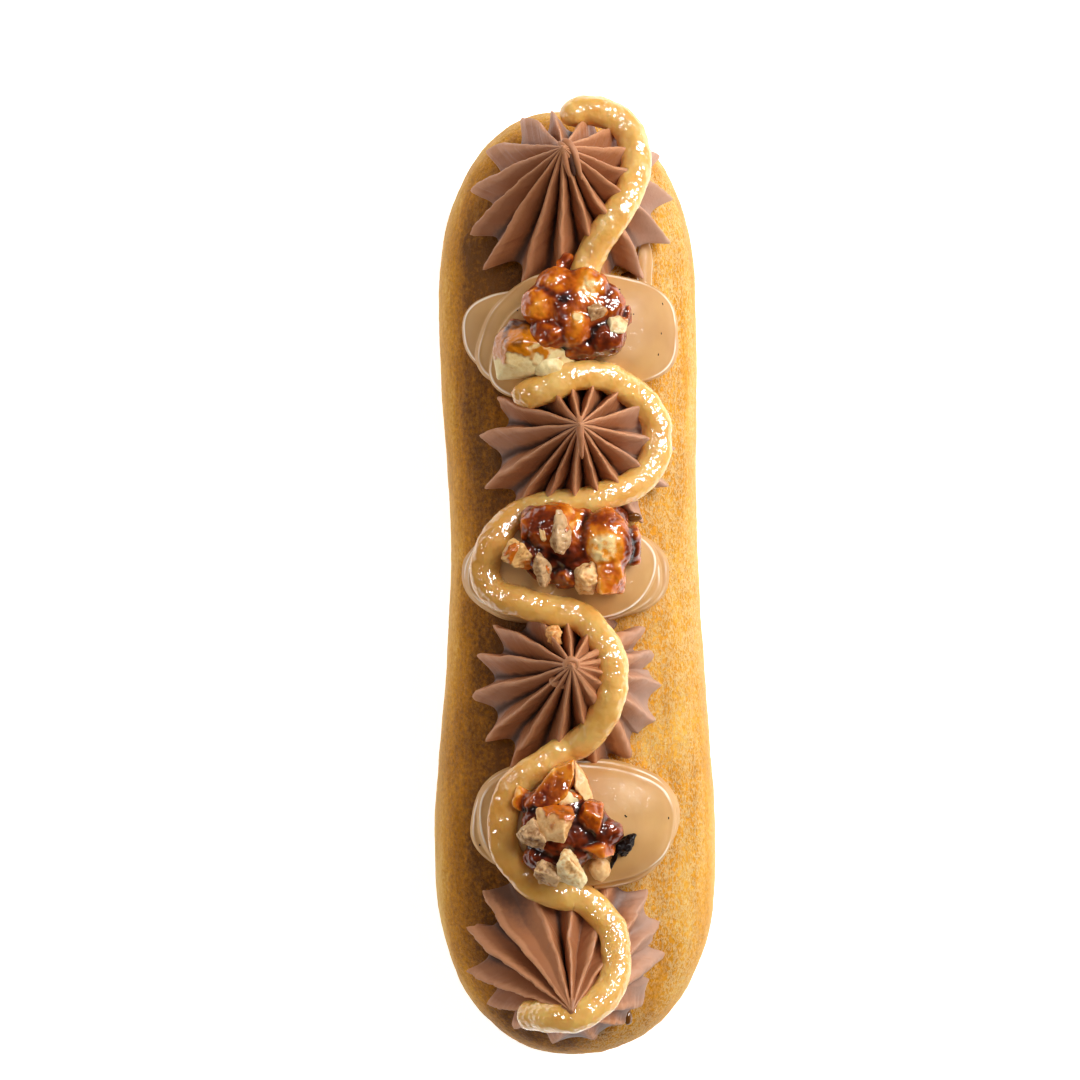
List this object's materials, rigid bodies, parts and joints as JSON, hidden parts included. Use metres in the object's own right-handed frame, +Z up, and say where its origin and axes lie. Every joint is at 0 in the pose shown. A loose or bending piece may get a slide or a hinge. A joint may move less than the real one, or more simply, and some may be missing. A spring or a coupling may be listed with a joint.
{
  "type": "eclair",
  "caption": "Long choux pastry topped with star-piped chocolate cream, smooth pale cream, a winding line of caramel and caramelised nuts.",
  "frame": {"origin": "middle of the flat underside, on the surface that the eclair rests on", "axes": "+Y along the length towards the narrower end, +Z up, +X to the right when seen from above with the narrower end at the top"},
  "size_m": [0.0416, 0.14, 0.044],
  "materials": {
    "choux": "baked golden crust, finely grained, with paler and darker patches",
    "chocolate_cream": "soft whipped chocolate cream, satin",
    "pale_cream": "smooth moist cream with fine dark specks",
    "caramelised_nut": "broken nuts in glossy amber caramel, bare and pale where broken"
  },
  "bodies": {
    "root": {"choux_shell": "choux", "chocolate_rosette_1": "chocolate_cream", "chocolate_rosette_2": "chocolate_cream", "chocolate_rosette_3": "chocolate_cream", "chocolate_rosette_4": "chocolate_cream", "cream_dollop_1": "pale_cream", "cream_dollop_2": "pale_cream", "cream_dollop_3": "pale_cream", "nut_cluster_1": "caramelised_nut", "nut_piece": "caramelised_nut", "nut_cluster_2": "caramelised_nut", "nut_cluster_3": "caramelised_nut"}
  },
  "joints": []
}
